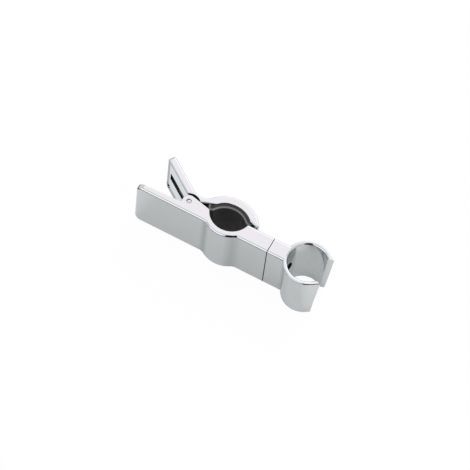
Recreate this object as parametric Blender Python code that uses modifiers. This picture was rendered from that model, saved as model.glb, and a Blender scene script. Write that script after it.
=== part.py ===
"""Shower rail slider: a sprung clamp for a round rail, with a swivelling holder for a hand shower.

The rail runs along Z through the origin. The underside stands on Z = 0, the fixed handle points
to -X and the hand shower's ring to +X. All sizes are in metres, all angles in degrees.
"""
import math

import bmesh
import bpy
from mathutils import Matrix, Vector

# The rail and the seats that hold it
RAIL_DIAMETER = 0.0250
RAIL_CLEARANCE = 0.0003
SEAT_WALL = 0.0036
SEAT_CORNER = 0.0008

# The fixed arm, from the handle to the swivel
BODY_HEIGHT = 0.0378
ARM_FRONT = 0.0128
ARM_DEPTH = 0.0105
ARM_PAST_SEAT = 0.01715
BULGE_BLEND = 0.0055
EDGE_ROUND = 0.0013
EDGE_BREAK = 0.0003

# The handles
HANDLE_REACH = 0.0311
HANDLE_ROOT = 0.0045
HANDLE_TIP = 0.0034
HANDLE_CORNER = 0.0043
GROOVE_HEIGHT = 0.0068
GROOVE_END_WALL = 0.0036

# The hinge
PIN_FROM_SEAT = 0.0119
PIN_SET_FORWARD = 0.0059
PIN_RADIUS = 0.0013
PIN_CLEARANCE = 0.0003
PIN_RECESS = 0.0003
PIN_DOME = 0.0005
PIN_HEAD_RADIUS = 0.0021
PIN_HEAD_HEIGHT = 0.0007
EAR_THICKNESS = 0.0027
EAR_RADIUS = 0.0040
EAR_SLOPE = 12.9
EAR_FILLET = 0.0008

# The lever, drawn as it stands when it holds a rail
CLAMP_TURN = 19.3
LEVER_GAP = 0.0003
LEVER_TILT = 16.1
LEVER_BEHIND_PIN = 0.00225
LEVER_THICKNESS = 0.0047
LEVER_REACH = 0.0319
LEVER_TOP_CORNER = 0.0016
LEVER_EDGE_ROUND = 0.0010
POCKET_DEPTH = 0.0007
POCKET_LEDGE = 0.0001
LEVER_VALLEY = 0.0095
JAW_WALL = 0.0048
JAW_TIP_ROUND = 0.0011
JAW_LIP_HEIGHT = 0.01334
JAW_HEEL_SLOPE = 38.7
JAW_HEEL_ANGLE = 159.8
COIL_ROOM = 0.0069
WEB_WIDTH = 0.0050
WEB_SET_DOWN = 0.0050

# The grip pad in the lever's jaw
PAD_THICKNESS = 0.0024
PAD_GAP = 0.0003
PAD_LIP = 0.0021
PAD_LIP_LENGTH = 0.0032
PAD_HEEL = 0.0033
PAD_HEEL_LENGTH = 0.0020
PAD_CHAMFER = 0.0008

# The torsion spring
WIRE_RADIUS = 0.00075
COIL_RADIUS = 0.0034
COIL_TURNS = 3
COIL_PITCH = 0.00165
LEG_LENGTH = 0.0170
SPRING_CLEARANCE = 0.0003
COIL_SPACE = 0.0076

# The holder
SWIVEL_GAP = 0.0003
NECK_LENGTH = 0.02395
RING_INNER_TOP = 0.0120
RING_INNER_BOTTOM = 0.0110
RING_WALL = 0.0024
RING_SET_BACK = 0.0004
RING_RIM_ROUND = 0.0006
RING_MOUTH_ROUND = 0.0012
RING_TAPER = 0.914
SLOT_HALF_INNER = 0.0079
SLOT_HALF_OUTER = 0.0088
SLOT_SPREAD_BELOW = 1.16
LIP_REACH_TOP = 0.0127
LIP_REACH_BOTTOM = 0.0104

# The swivel joint
SEATING = 0.0003
SCREW_RADIUS = 0.0019
SCREW_LENGTH = 0.0180
SCREW_HEAD_RADIUS = 0.0035
SCREW_HEAD_HEIGHT = 0.0022
SCREW_HEAD_SIDE = 0.00132
SCREW_HEAD_TOP = 0.00245
SCREW_SOCKET_RADIUS = 0.0013
SCREW_SOCKET_DEPTH = 0.0012
SCREW_CLEARANCE = 0.0003
HEAD_RECESS_RADIUS = 0.0046
NECK_WEB = 0.0042
INSERT_RADIUS = 0.0034
INSERT_LENGTH = 0.0095
INSERT_GROOVE = 0.0005
INSERT_WAIST = 0.0019
THRUST_RADIUS = 0.0040
THRUST_THICKNESS = 0.0009
THRUST_RECESS = 0.0006
FRICTION_THICKNESS = 0.0010
CONE_THICKNESS = 0.0006
CONE_RISE = 0.0005
PLAIN_THICKNESS = 0.0008
WASHER_RADIUS = 0.0038

# How finely it is drawn, and how far the cutters reach past what they cut
ARC_STEP = 6.0
COIL_STEP = 20.0
SHARP_ANGLE = 35.0
FLAT_ANGLE = 0.573
TOUCH = 1e-5
WELD = 1e-6
ROUND_STEPS = 32
OVERCUT = 0.0010
SLAB_DEPTH = 0.20

# Places that follow from the sizes
SEAT_RADIUS = RAIL_DIAMETER / 2 + RAIL_CLEARANCE
BULGE_RADIUS = SEAT_RADIUS + SEAT_WALL
PIN = Vector((-(SEAT_RADIUS + PIN_FROM_SEAT), -PIN_SET_FORWARD))
RAIL = Vector((0, 0))
MIDDLE = BODY_HEIGHT / 2
FRONT_Y = -ARM_FRONT
BACK_Y = FRONT_Y + ARM_DEPTH
TIP_X = PIN.x - HANDLE_REACH
ARM_END_X = SEAT_RADIUS + ARM_PAST_SEAT
SWIVEL_Y = (FRONT_Y + BACK_Y) / 2
NECK_START_X = ARM_END_X + SWIVEL_GAP
RING_CENTRE = Vector((ARM_END_X + NECK_LENGTH, SWIVEL_Y + RING_SET_BACK))
RING_OUTER_TOP = RING_INNER_TOP + RING_WALL
COIL_OUTER = COIL_RADIUS + WIRE_RADIUS
SPRING_ROOM = COIL_OUTER + SPRING_CLEARANCE
LEVER_BOTTOM = EAR_THICKNESS + LEVER_GAP
LEVER_HEIGHT = BODY_HEIGHT - 2 * LEVER_BOTTOM
WEB_FACE_X = NECK_START_X + NECK_WEB


def fresh_scene():
    """Empty the scene and make one collection for the parts and one for the cutters."""
    for thing in list(bpy.data.objects):
        bpy.data.objects.remove(thing, do_unlink=True)
    made = []
    for name in ("shower_rail_slider", "cutters"):
        collection = bpy.data.collections.new(name)
        bpy.context.scene.collection.children.link(collection)
        made.append(collection)
    return made


PARTS, CUTTERS = fresh_scene()


def finish(name, colour, roughness, metallic):
    """A plain finish for one material of the slider."""
    material = bpy.data.materials.new(name)
    material.use_nodes = True
    shader = material.node_tree.nodes["Principled BSDF"]
    shader.inputs["Base Color"].default_value = (*colour, 1.0)
    shader.inputs["Roughness"].default_value = roughness
    shader.inputs["Metallic"].default_value = metallic
    return material


CHROME = finish("chrome_plate", (0.78, 0.79, 0.80), 0.06, 1.0)
RUBBER = finish("dark_rubber", (0.035, 0.033, 0.032), 0.6, 0.0)
STEEL = finish("bright_steel", (0.62, 0.62, 0.63), 0.25, 1.0)
BRASS = finish("brass", (0.75, 0.56, 0.27), 0.3, 1.0)
NYLON = finish("white_nylon", (0.85, 0.85, 0.82), 0.45, 0.0)


# Plane geometry of the outlines

def unit(angle):
    """The direction at an angle from +X."""
    return Vector((math.cos(math.radians(angle)), math.sin(math.radians(angle))))


def angle_of(vector):
    """The angle of a vector from +X."""
    return math.degrees(math.atan2(vector.y, vector.x))


def left_of(direction):
    """The direction turned a quarter turn to the left."""
    return Vector((-direction.y, direction.x))


def arc(centre, start, end, clockwise=False):
    """Points along the arc about centre from start to end, both included."""
    radius = (start - centre).length
    first = angle_of(start - centre)
    sweep = (angle_of(end - centre) - first) % 360
    if clockwise:
        sweep -= 360
    count = max(2, math.ceil(abs(sweep) / ARC_STEP))
    return [centre + radius * unit(first + sweep * i / count) for i in range(count + 1)]


def on_line(point, direction, centre, distance, ahead=True):
    """The point of a line that lies at a distance from centre, on its far or near side."""
    along = (centre - point).dot(direction)
    aside = (centre - point - along * direction).length
    reach = math.sqrt(distance ** 2 - aside ** 2)
    return point + (along + (reach if ahead else -reach)) * direction


def round_corner(before, corner, after, radius):
    """Points of a rounded corner between two straight edges."""
    back = (before - corner).normalized()
    on = (after - corner).normalized()
    half = math.acos(max(-1.0, min(1.0, back.dot(on)))) / 2
    start = corner + back * radius / math.tan(half)
    end = corner + on * radius / math.tan(half)
    centre = corner + (back + on).normalized() * radius / math.sin(half)
    turn = (corner - before).x * (after - corner).y - (corner - before).y * (after - corner).x
    return arc(centre, start, end, clockwise=turn < 0)


# Solids

def link(thing, collection, material=None):
    """Put an object in a collection and give it its finish."""
    collection.objects.link(thing)
    if material:
        thing.data.materials.clear()
        thing.data.materials.append(material)
    if collection is CUTTERS:
        thing.hide_render = True
        thing.display_type = "WIRE"
    return thing


def drawn(name, points, cyclic):
    """A curve through points."""
    curve = bpy.data.curves.new(name, "CURVE")
    curve.dimensions = "2D" if cyclic else "3D"
    spline = curve.splines.new("POLY")
    spline.points.add(len(points) - 1)
    for point, place in zip(spline.points, points):
        point.co = (*place.to_3d(), 1)
    spline.use_cyclic_u = cyclic
    return curve


def solid_from(curve):
    """The closed mesh of a filled or thick curve."""
    guide = bpy.data.objects.new(curve.name, curve)
    bpy.context.scene.collection.objects.link(guide)
    bpy.context.view_layer.update()
    mesh = bpy.data.meshes.new_from_object(guide.evaluated_get(bpy.context.evaluated_depsgraph_get()))
    bpy.data.objects.remove(guide)
    tidy_mesh(mesh)
    return mesh


def plate(name, outline, bottom, top, collection=PARTS, material=None):
    """A flat outline in the XY plane, extruded from bottom to top."""
    curve = drawn(name, outline, cyclic=True)
    curve.fill_mode = "BOTH"
    curve.extrude = (top - bottom) / 2
    mesh = solid_from(curve)
    mesh.transform(Matrix.Translation((0, 0, (bottom + top) / 2)))
    return link(bpy.data.objects.new(name, mesh), collection, material)


def tidy_mesh(mesh):
    """Weld the seams of a mesh and merge its flat faces."""
    cage = bmesh.new()
    cage.from_mesh(mesh)
    bmesh.ops.remove_doubles(cage, verts=cage.verts, dist=WELD)
    bmesh.ops.dissolve_limit(cage, angle_limit=math.radians(FLAT_ANGLE), verts=cage.verts,
                             edges=cage.edges, delimit={"NORMAL"})
    bmesh.ops.recalc_face_normals(cage, faces=cage.faces)
    cage.to_mesh(mesh)
    cage.free()


def box(name, low, high):
    """A box between two corners, to cut or join with."""
    mesh = bpy.data.meshes.new(name)
    cage = bmesh.new()
    size = [high[i] - low[i] for i in range(3)]
    centre = [(high[i] + low[i]) / 2 for i in range(3)]
    bmesh.ops.create_cube(cage, size=1.0, matrix=Matrix.LocRotScale(centre, None, size))
    cage.to_mesh(mesh)
    cage.free()
    return link(bpy.data.objects.new(name, mesh), CUTTERS)


def rod(name, radius, start, end, steps=ROUND_STEPS):
    """A cylinder between two points, to cut or join with."""
    start, end = Vector(start), Vector(end)
    turn = (end - start).to_track_quat("Z", "Y")
    place = Matrix.LocRotScale((start + end) / 2, turn, None)
    mesh = bpy.data.meshes.new(name)
    cage = bmesh.new()
    bmesh.ops.create_cone(cage, cap_ends=True, segments=steps, radius1=radius,
                          radius2=radius, depth=(end - start).length, matrix=place)
    cage.to_mesh(mesh)
    cage.free()
    return link(bpy.data.objects.new(name, mesh), CUTTERS)


def turned(name, profile, material=None, closed=False, collection=PARTS, steps=ROUND_STEPS):
    """A piece turned from a profile of (radius, height) points, which runs down its outer side."""
    mesh = bpy.data.meshes.new(name)
    cage = bmesh.new()
    points = [cage.verts.new((radius, 0, height)) for radius, height in profile]
    for a, b in zip(points, points[1:]):
        cage.edges.new((a, b))
    if closed:
        cage.edges.new((points[-1], points[0]))
    cage.to_mesh(mesh)
    cage.free()
    thing = link(bpy.data.objects.new(name, mesh), collection, material)
    lathe = thing.modifiers.new("turn", "SCREW")
    lathe.steps = steps
    lathe.render_steps = steps
    lathe.use_merge_vertices = True
    lathe.merge_threshold = WELD
    return thing


def combine(thing, other, operation="DIFFERENCE"):
    """Cut, join or trim an object with another one."""
    modifier = thing.modifiers.new(other.name, "BOOLEAN")
    modifier.operation = operation
    modifier.object = other


def apply_modifiers(thing):
    """Turn an object's modifiers into its mesh."""
    bpy.context.view_layer.update()
    shape = thing.evaluated_get(bpy.context.evaluated_depsgraph_get())
    mesh = bpy.data.meshes.new_from_object(shape)
    mesh.name = thing.name
    thing.modifiers.clear()
    thing.data = mesh
    return thing


def soften(thing, width, weight_of, segments=3):
    """Round the sharp edges of a solid, each by its own share of the width."""
    mesh = thing.data
    tidy_mesh(mesh)
    cage = bmesh.new()
    cage.from_mesh(mesh)
    share = cage.edges.layers.float.new("bevel_weight_edge")
    for edge in cage.edges:
        if len(edge.link_faces) == 2 and edge.calc_face_angle() > math.radians(SHARP_ANGLE):
            edge[share] = weight_of(*(v.co for v in edge.verts))
    cage.to_mesh(mesh)
    cage.free()
    bevel = thing.modifiers.new("soft_edges", "BEVEL")
    bevel.limit_method = "WEIGHT"
    bevel.width = width
    bevel.segments = segments
    bevel.use_clamp_overlap = False
    return apply_modifiers(thing)


def smooth(thing):
    """Shade a finished piece smooth, except at its sharp edges."""
    thing.data.shade_smooth()
    thing.data.set_sharp_from_angle(angle=math.radians(SHARP_ANGLE))


# The fixed body

def body_outline():
    """The plan of the fixed body with its hinge ears, anticlockwise from the handle's tip."""
    blend_centre_x = math.sqrt((BULGE_RADIUS + BULGE_BLEND) ** 2 - (ARM_FRONT + BULGE_BLEND) ** 2)
    blend = Vector((blend_centre_x, FRONT_Y - BULGE_BLEND))
    touch = blend * BULGE_RADIUS / (BULGE_RADIUS + BULGE_BLEND)
    mirrored = Vector((-blend.x, blend.y))
    mirrored_touch = Vector((-touch.x, touch.y))

    points = [Vector((TIP_X - OVERCUT, FRONT_Y))]
    points += arc(mirrored, Vector((mirrored.x, FRONT_Y)), mirrored_touch, clockwise=True)
    points += arc(RAIL, mirrored_touch, touch)[1:-1]
    points += arc(blend, touch, Vector((blend.x, FRONT_Y)), clockwise=True)
    points += [Vector((ARM_END_X, FRONT_Y)), Vector((ARM_END_X, BACK_Y))]

    # The seat for the rail, between the arm block and the ears
    slope = unit(-EAR_SLOPE)
    upward = left_of(slope)
    right = on_line(Vector((0, BACK_Y)), Vector((1, 0)), RAIL, SEAT_RADIUS)
    left = on_line(PIN + EAR_RADIUS * upward, slope, RAIL, SEAT_RADIUS, ahead=False)
    points += arc(RAIL, right, left, clockwise=True)

    # The ear round the pin, then the back of the handle
    points += arc(PIN, PIN + EAR_RADIUS * upward, PIN + Vector((-EAR_RADIUS, 0)))
    root = Vector((PIN.x - EAR_RADIUS, FRONT_Y + HANDLE_ROOT))
    tip = Vector((TIP_X - OVERCUT, FRONT_Y + HANDLE_TIP))
    points += round_corner(PIN + Vector((-EAR_RADIUS, 0)), root, tip, EAR_FILLET)
    points.append(tip)
    return points


def side_view(name, tip, far, low, high, top_radius, bottom_radius,
              near=-SLAB_DEPTH / 2, deep=SLAB_DEPTH / 2):
    """A slab that is a bar with a rounded end when seen from the front, to cut or trim with."""
    corners = [Vector(place) for place in ((far, low), (far, high), (tip, high), (tip, low))]
    outline = corners[:2]
    outline += round_corner(corners[1], corners[2], corners[3], top_radius)
    outline += round_corner(corners[2], corners[3], corners[0], bottom_radius)
    slab = plate(name, outline, -deep, -near, CUTTERS)
    slab.data.transform(Matrix.Rotation(math.radians(90), 4, "X"))
    return slab


def make_front_body():
    """The fixed jaw: handle, half round seat, ears and arm block, cast in one."""
    body = plate("front_body", body_outline(), -OVERCUT, BODY_HEIGHT + OVERCUT, PARTS, CHROME)
    side = side_view("body_side", TIP_X, ARM_END_X + OVERCUT, 0, BODY_HEIGHT,
                     HANDLE_CORNER, HANDLE_CORNER)
    combine(body, side, "INTERSECT")
    apply_modifiers(body)

    def share(a, b):
        middle = (a + b).to_2d() / 2
        upright = abs(a.z - b.z) > BODY_HEIGHT / 2
        in_seat = middle.length < SEAT_RADIUS + TOUCH
        if abs(middle.x - ARM_END_X) < TOUCH:
            return EDGE_BREAK / EDGE_ROUND / 2
        if upright and in_seat:
            return SEAT_CORNER / EDGE_ROUND
        on_front = middle.y < FRONT_Y + HANDLE_TIP / 2
        on_block = middle.x > 0
        return 1.0 if (on_front or on_block) and not in_seat else EDGE_BREAK / EDGE_ROUND

    soften(body, EDGE_ROUND, share)

    # The room between the ears for the lever's knuckles and the spring
    slot = rod("knuckle_room", SPRING_ROOM,
               (*PIN, EAR_THICKNESS), (*PIN, BODY_HEIGHT - EAR_THICKNESS))
    combine(body, slot)
    low = MIDDLE - COIL_SPACE / 2
    combine(body, box("handle_groove", (TIP_X + GROOVE_END_WALL, PIN.y - SPRING_ROOM, low),
                      (PIN.x, PIN.y, low + GROOVE_HEIGHT)))

    # The pin's holes, and the recess for its head underneath
    hole = PIN_RADIUS + PIN_CLEARANCE
    combine(body, rod("pin_hole", hole, (*PIN, -OVERCUT), (*PIN, BODY_HEIGHT + OVERCUT)))
    head_room = PIN_HEAD_RADIUS + PIN_CLEARANCE
    combine(body, rod("pin_head_recess", head_room, (*PIN, -OVERCUT),
                      (*PIN, PIN_HEAD_HEIGHT + 2 * SEATING)))

    # The swivel's socket in the end of the arm
    insert_room = INSERT_RADIUS + SEATING
    thrust_room = THRUST_RADIUS + SEATING
    socket_end = ARM_END_X - THRUST_RECESS - INSERT_LENGTH - 3 * SEATING
    combine(body, rod("insert_socket", insert_room,
                      (socket_end, SWIVEL_Y, MIDDLE), (ARM_END_X + OVERCUT, SWIVEL_Y, MIDDLE)))
    combine(body, rod("thrust_recess", thrust_room,
                      (ARM_END_X - THRUST_RECESS, SWIVEL_Y, MIDDLE),
                      (ARM_END_X + OVERCUT, SWIVEL_Y, MIDDLE)))
    apply_modifiers(body)
    smooth(body)
    return body


# The lever and its pad, drawn about the rail and then turned shut about the pin

ALONG = unit(-LEVER_TILT)
BEHIND = left_of(ALONG)
JAW_INNER = RAIL_DIAMETER / 2 + PAD_THICKNESS + PAD_GAP
JAW_OUTER = JAW_INNER + JAW_WALL
POCKET_RIM = LEVER_EDGE_ROUND + POCKET_LEDGE
JAW_TIP = on_line(Vector((0, JAW_LIP_HEIGHT + JAW_TIP_ROUND)), Vector((1, 0)), RAIL,
                  JAW_OUTER - JAW_TIP_ROUND)


def lever_outline():
    """The plan of the lever, anticlockwise from the inner corner of its tip."""
    inner = PIN + LEVER_BEHIND_PIN * BEHIND
    outer = inner + LEVER_THICKNESS * BEHIND
    tip = -(LEVER_REACH + OVERCUT) * ALONG

    # The inner side: handle, room for the coil, heel, seat of the pad and lip
    room_start = on_line(inner, ALONG, PIN, COIL_ROOM, ahead=False)
    heel_corner = RAIL + JAW_INNER * unit(JAW_HEEL_ANGLE)
    heel = unit(JAW_HEEL_SLOPE)
    room_end = on_line(heel_corner, heel, PIN, COIL_ROOM, ahead=True)
    lip_corner = on_line(Vector((0, JAW_LIP_HEIGHT)), Vector((1, 0)), RAIL, JAW_INNER)
    points = [inner + tip]
    points += arc(PIN, room_start, room_end, clockwise=True)
    points += arc(RAIL, heel_corner, lip_corner, clockwise=True)

    # The jaw's tip
    tip_end = JAW_TIP.normalized() * JAW_OUTER
    points += arc(JAW_TIP, Vector((JAW_TIP.x, JAW_LIP_HEIGHT)), tip_end)

    # The outer side: round jaw, valley and the back of the handle
    valley = on_line(outer + LEVER_VALLEY * BEHIND, ALONG, RAIL, JAW_OUTER + LEVER_VALLEY, ahead=False)
    valley_start = valley.normalized() * JAW_OUTER
    points += arc(RAIL, tip_end, valley_start)[1:-1]
    points += arc(valley, valley_start, valley - LEVER_VALLEY * BEHIND, clockwise=True)
    points.append(outer + tip)
    return points


def shut(thing):
    """Put a piece's origin on the pin and turn it from holding a rail to shut."""
    thing.data.transform(Matrix.Translation((-PIN.x, -PIN.y, 0)))
    thing.location = (PIN.x, PIN.y, 0)
    thing.rotation_euler.z = -math.radians(CLAMP_TURN)
    return thing


def make_lever():
    """The moving jaw with its handle and two hinge lugs, cast in one."""
    top = LEVER_BOTTOM + LEVER_HEIGHT
    lever = plate("lever", lever_outline(), LEVER_BOTTOM - OVERCUT, top + OVERCUT, PARTS, CHROME)
    on_lever = Matrix.Translation((*PIN, 0)) @ Matrix.Rotation(math.radians(-LEVER_TILT), 4, "Z")
    side = side_view("lever_side", -LEVER_REACH, -PIN.x + BULGE_RADIUS * 2, LEVER_BOTTOM, top,
                     LEVER_TOP_CORNER, HANDLE_CORNER)
    side.data.transform(on_lever)
    combine(lever, side, "INTERSECT")
    apply_modifiers(lever)

    def share(a, b):
        middle = (a + b).to_2d() / 2
        in_seat = middle.length < JAW_OUTER - JAW_WALL / 2 and middle.y < JAW_LIP_HEIGHT - TOUCH
        in_seat = in_seat or middle.length < JAW_INNER + TOUCH
        in_room = (middle - PIN).length < COIL_ROOM + TOUCH
        on_handle = (middle - PIN).dot(ALONG) < -COIL_ROOM
        return 1.0 if on_handle or not (in_seat or in_room) else EDGE_BREAK / LEVER_EDGE_ROUND

    soften(lever, LEVER_EDGE_ROUND, share)

    # The shallow pocket in the handle's inner face, which runs out into the coil's room
    pocket = side_view("lever_pocket", POCKET_RIM - LEVER_REACH, -COIL_ROOM / 2,
                       LEVER_BOTTOM + POCKET_RIM, top - POCKET_RIM,
                       LEVER_TOP_CORNER - POCKET_RIM, HANDLE_CORNER - POCKET_RIM,
                       LEVER_BEHIND_PIN - OVERCUT, LEVER_BEHIND_PIN + POCKET_DEPTH)
    pocket.data.transform(on_lever)
    combine(lever, pocket)

    # The two lugs: a knuckle on the pin and a web to the plate
    lug_height = (LEVER_HEIGHT - COIL_SPACE) / 2 - SPRING_CLEARANCE
    web_way = unit(90 + CLAMP_TURN)
    across = left_of(web_way) * WEB_WIDTH / 2
    web_end = PIN + web_way * (COIL_ROOM + LEVER_THICKNESS / 4)
    for name, bottom in (("lower", LEVER_BOTTOM), ("upper", top - lug_height)):
        knuckle = rod(name + "_knuckle", EAR_RADIUS, (*PIN, bottom),
                      (*PIN, bottom + lug_height))
        combine(lever, knuckle, "UNION")
        low = bottom + (WEB_SET_DOWN if name == "lower" else 0)
        web = plate(name + "_web", [PIN - across, web_end - across, web_end + across, PIN + across],
                    low, low + lug_height - WEB_SET_DOWN, CUTTERS)
        combine(lever, web, "UNION")
    hole = PIN_RADIUS + PIN_CLEARANCE
    combine(lever, rod("lever_pin_hole", hole, (*PIN, 0), (*PIN, BODY_HEIGHT)))

    # The groove for the spring's leg along the handle
    near = PIN + ALONG * (GROOVE_END_WALL - LEVER_REACH)
    deep = BEHIND * SPRING_ROOM
    high = MIDDLE + COIL_SPACE / 2
    groove = plate("lever_groove", [near, PIN, PIN + deep, near + deep],
                   high - GROOVE_HEIGHT, high, CUTTERS)
    combine(lever, groove)
    apply_modifiers(lever)
    smooth(lever)
    return shut(lever)


def make_jaw_pad():
    """The moulded grip pad that lines the lever's jaw."""
    outer = JAW_INNER - PAD_GAP
    inner = RAIL_DIAMETER / 2
    heel = unit(JAW_HEEL_SLOPE)
    to_rail = -left_of(heel)
    heel_corner = RAIL + JAW_INNER * unit(JAW_HEEL_ANGLE) + PAD_GAP * to_rail
    outer_start = on_line(heel_corner, heel, RAIL, outer, ahead=False)
    inner_start = on_line(heel_corner + PAD_HEEL * to_rail, heel, RAIL, inner, ahead=False)
    lip_y = JAW_LIP_HEIGHT - PAD_GAP
    outer_end = on_line(Vector((0, lip_y)), Vector((1, 0)), RAIL, outer)
    inner_end = on_line(Vector((0, lip_y - PAD_LIP)), Vector((1, 0)), RAIL, inner)

    points = [inner_start - PAD_HEEL_LENGTH * heel]
    points += arc(RAIL, inner_start, inner_end, clockwise=True)
    points.append(Vector((inner_end.x + PAD_LIP_LENGTH, inner_end.y)))
    points.append(Vector((inner_end.x + PAD_LIP_LENGTH, lip_y)))
    points += arc(RAIL, outer_end, outer_start)
    points.append(inner_start - PAD_HEEL_LENGTH * heel - PAD_HEEL * to_rail)
    pad = plate("jaw_pad", points, LEVER_BOTTOM + SEATING, BODY_HEIGHT - LEVER_BOTTOM - SEATING,
                PARTS, RUBBER)

    def share(a, b):
        middle = (a + b).to_2d() / 2
        level = abs(a.z - b.z) < TOUCH
        inside = middle.length < inner + TOUCH or abs(middle.y - inner_end.y) < TOUCH
        on_heel = abs((middle - inner_start).dot(to_rail)) < TOUCH
        return 1.0 if level and (inside or on_heel) else 0.0

    soften(pad, PAD_CHAMFER, share, segments=2)
    smooth(pad)
    return shut(pad)


# The hinge pin and its spring

def make_hinge_pin():
    """The turned pin, with a domed end that shows and a small head underneath."""
    top = BODY_HEIGHT - PIN_RECESS
    profile = [(0, top)]
    profile += [(PIN_RADIUS * math.sin(math.radians(a)), top - PIN_DOME * (1 - math.cos(math.radians(a))))
                for a in (30, 60, 90)]
    head_top = SEATING + PIN_HEAD_HEIGHT
    profile += [(PIN_RADIUS, head_top), (PIN_HEAD_RADIUS, head_top), (PIN_HEAD_RADIUS, SEATING),
                (0, SEATING)]
    pin = turned("hinge_pin", profile, STEEL)
    pin.location = (*PIN, 0)
    smooth(pin)
    return pin


def spring_route():
    """The wire's middle line: the leg on the fixed handle, the coil, and the leg on the lever."""
    lever_along = unit(-LEVER_TILT - CLAMP_TURN)
    first = -90.0
    last = angle_of(left_of(lever_along)) + 360 * COIL_TURNS
    count = round((last - first) / COIL_STEP)
    rise = COIL_PITCH * (last - first) / 360
    low = MIDDLE - rise / 2
    centre = Vector((0, 0, low))
    route = [Vector((-LEG_LENGTH, -COIL_RADIUS, low))]
    for i in range(count + 1):
        angle = first + (last - first) * i / count
        spot = COIL_RADIUS * unit(angle)
        route.append(centre + Vector((spot.x, spot.y, rise * i / count)))
    end = route[-1] - LEG_LENGTH * lever_along.to_3d()
    route.append(end)
    return route


def make_clamp_spring():
    """The torsion spring on the pin that holds the jaws shut."""
    wire = drawn("clamp_spring", spring_route(), cyclic=False)
    wire.bevel_depth = WIRE_RADIUS
    wire.bevel_resolution = 2
    wire.use_fill_caps = True
    spring = link(bpy.data.objects.new("clamp_spring", solid_from(wire)), PARTS, STEEL)
    spring.location = (*PIN, 0)
    smooth(spring)
    return spring


# The swivel joint, from the arm to the screw's head

def washer(name, inner, outer, start, thickness, material, rise=0.0):
    """A washer on the swivel axis, flat or coned, with its first face at start."""
    profile = [(inner, thickness + rise), (outer, thickness), (outer, 0), (inner, rise)]
    ring = turned(name, profile, material, closed=True)
    return on_swivel(ring, start)


def on_swivel(thing, start):
    """Lay a turned piece along the swivel axis, with its foot at start."""
    thing.rotation_euler.y = math.radians(90)
    thing.location = (start, SWIVEL_Y, MIDDLE)
    smooth(thing)
    return thing


def make_swivel():
    """The insert, washers and screw that hold the holder to the arm."""
    hole = SCREW_RADIUS + SCREW_CLEARANCE
    insert_end = ARM_END_X - THRUST_RECESS - SEATING
    insert_start = insert_end - INSERT_LENGTH
    waist = INSERT_RADIUS - INSERT_GROOVE
    waist_low = (INSERT_LENGTH - INSERT_WAIST) / 2
    waist_high = waist_low + INSERT_WAIST
    profile = [(hole, INSERT_LENGTH), (INSERT_RADIUS, INSERT_LENGTH),
               (INSERT_RADIUS, waist_high), (waist, waist_high),
               (waist, waist_low), (INSERT_RADIUS, waist_low),
               (INSERT_RADIUS, 0), (hole, 0)]
    on_swivel(turned("threaded_insert", profile, BRASS, closed=True), insert_start)
    washer("thrust_washer", hole, THRUST_RADIUS, ARM_END_X - THRUST_RECESS + SEATING,
           THRUST_THICKNESS, NYLON)

    start = WEB_FACE_X + SEATING
    washer("friction_washer", hole, WASHER_RADIUS, start, FRICTION_THICKNESS, NYLON)
    start += FRICTION_THICKNESS + SEATING
    washer("spring_washer", hole, WASHER_RADIUS, start, CONE_THICKNESS, STEEL, rise=CONE_RISE)
    start += CONE_THICKNESS + CONE_RISE + SEATING
    washer("plain_washer", hole, WASHER_RADIUS, start, PLAIN_THICKNESS, STEEL)
    start += PLAIN_THICKNESS + SEATING

    head = SCREW_HEAD_HEIGHT
    length = SCREW_LENGTH
    profile = [(0, length + head), (SCREW_HEAD_TOP, length + head),
               (SCREW_HEAD_RADIUS, length + SCREW_HEAD_SIDE),
               (SCREW_HEAD_RADIUS, length), (SCREW_RADIUS, length), (SCREW_RADIUS, SCREW_RADIUS / 2),
               (SCREW_RADIUS / 2, 0), (0, 0)]
    screw = turned("swivel_screw", profile, STEEL)
    socket = rod("screw_socket", SCREW_SOCKET_RADIUS,
                 (start + head - SCREW_SOCKET_DEPTH, SWIVEL_Y, MIDDLE),
                 (start + head + OVERCUT, SWIVEL_Y, MIDDLE), steps=6)
    combine(screw, socket)
    on_swivel(screw, start - length)


def ring_outline():
    """The plan of the ring and its two lips about its own centre, at its top."""
    corner = Vector((LIP_REACH_TOP, SLOT_HALF_OUTER))
    turn = math.degrees(math.acos(RING_OUTER_TOP / corner.length))
    touch = RING_OUTER_TOP * unit(angle_of(corner) + turn)
    mirrored = Vector((touch.x, -touch.y))
    points = [Vector((corner.x, -corner.y)), corner]
    points += arc(Vector((0, 0)), touch, mirrored)
    return points


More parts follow.
